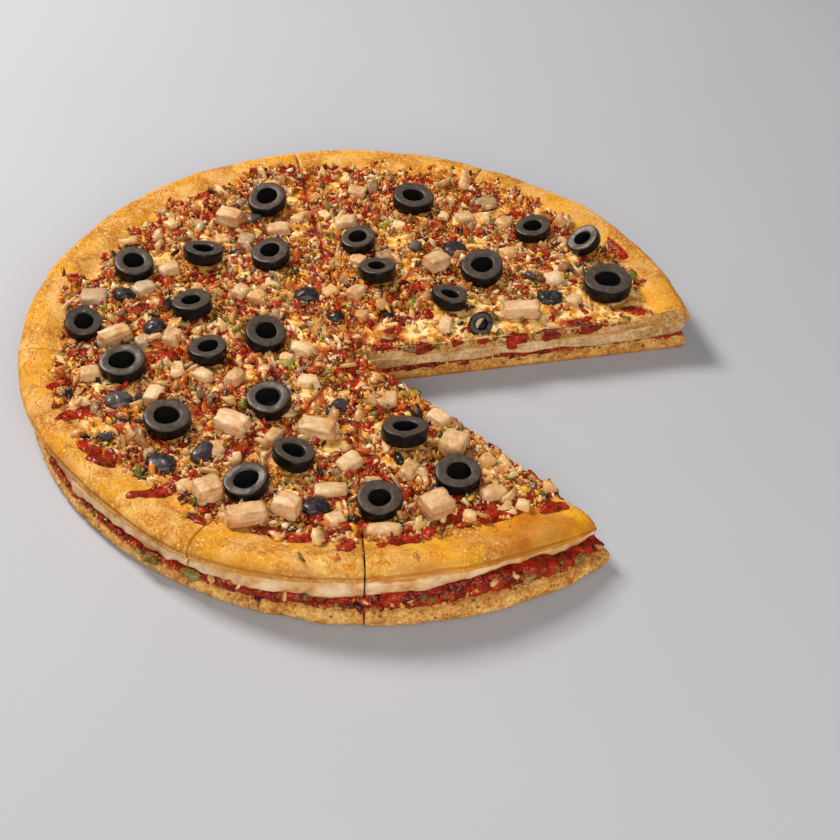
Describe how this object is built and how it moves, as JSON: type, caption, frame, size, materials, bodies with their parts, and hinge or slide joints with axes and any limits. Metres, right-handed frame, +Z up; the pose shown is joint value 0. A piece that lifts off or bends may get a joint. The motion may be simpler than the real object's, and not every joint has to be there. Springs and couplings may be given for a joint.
{
  "type": "double-crust pan pizza",
  "caption": "Round pan pizza with a lower and an upper crust, sauce and cheese between them, olives and chicken on top, cut into slices with a slice taken out.",
  "frame": {"origin": "centre of the round on the surface that it rests on", "axes": "+Z up from the underside to the toppings; the gap of the missing slice opens towards +X, a little to the -Y side"},
  "size_m": [0.3071, 0.3124, 0.0333],
  "materials": {
    "lower_crust": "baked dough, dry, pale gold with darker specks",
    "sauce": "wet tomato sauce with pieces in it",
    "cheese": "melted mozzarella, soft and slightly shiny",
    "upper_crust": "golden baked dough, grainy, browned at the lip",
    "chicken": "diced cooked chicken, moist",
    "olive": "sliced black olive, wet skin and duller cut faces"
  },
  "bodies": {
    "root": {"lower_crust_right": "lower_crust", "lower_crust_back": "lower_crust", "lower_crust_left": "lower_crust", "lower_crust_front_left": "lower_crust", "lower_crust_front": "lower_crust", "lower_crust_front_right": "lower_crust", "sauce_right": "sauce", "sauce_back": "sauce", "sauce_left": "sauce", "sauce_front_left": "sauce", "sauce_front": "sauce", "sauce_front_right": "sauce", "cheese_right": "cheese", "cheese_back": "cheese", "cheese_left": "cheese", "cheese_front_left": "cheese", "cheese_front": "cheese", "cheese_front_right": "cheese", "upper_crust_right": "upper_crust", "upper_crust_back": "upper_crust", "upper_crust_left": "upper_crust", "upper_crust_front_left": "upper_crust", "upper_crust_front": "upper_crust", "upper_crust_front_right": "upper_crust", "chicken_chunk_01": "chicken", "chicken_chunk_02": "chicken", "chicken_chunk_03": "chicken", "chicken_chunk_04": "chicken", "chicken_chunk_05": "chicken", "chicken_chunk_06": "chicken", "chicken_chunk_07": "chicken", "chicken_chunk_08": "chicken", "chicken_chunk_09": "chicken", "chicken_chunk_10": "chicken", "chicken_chunk_11": "chicken", "olive_ring_01": "olive", "olive_ring_02": "olive", "olive_ring_03": "olive", "olive_ring_04": "olive", "olive_ring_05": "olive", "olive_ring_06": "olive", "olive_ring_07": "olive", "olive_ring_08": "olive", "olive_ring_09": "olive", "olive_ring_10": "olive", "olive_ring_11": "olive", "olive_ring_12": "olive", "olive_ring_13": "olive", "olive_ring_14": "olive", "olive_ring_15": "olive", "olive_ring_16": "olive", "olive_ring_17": "olive", "olive_ring_18": "olive", "olive_ring_19": "olive", "olive_ring_20": "olive", "olive_ring_21": "olive", "olive_ring_22": "olive", "olive_ring_23": "olive", "olive_ring_24": "olive", "olive_ring_25": "olive"}
  },
  "joints": []
}
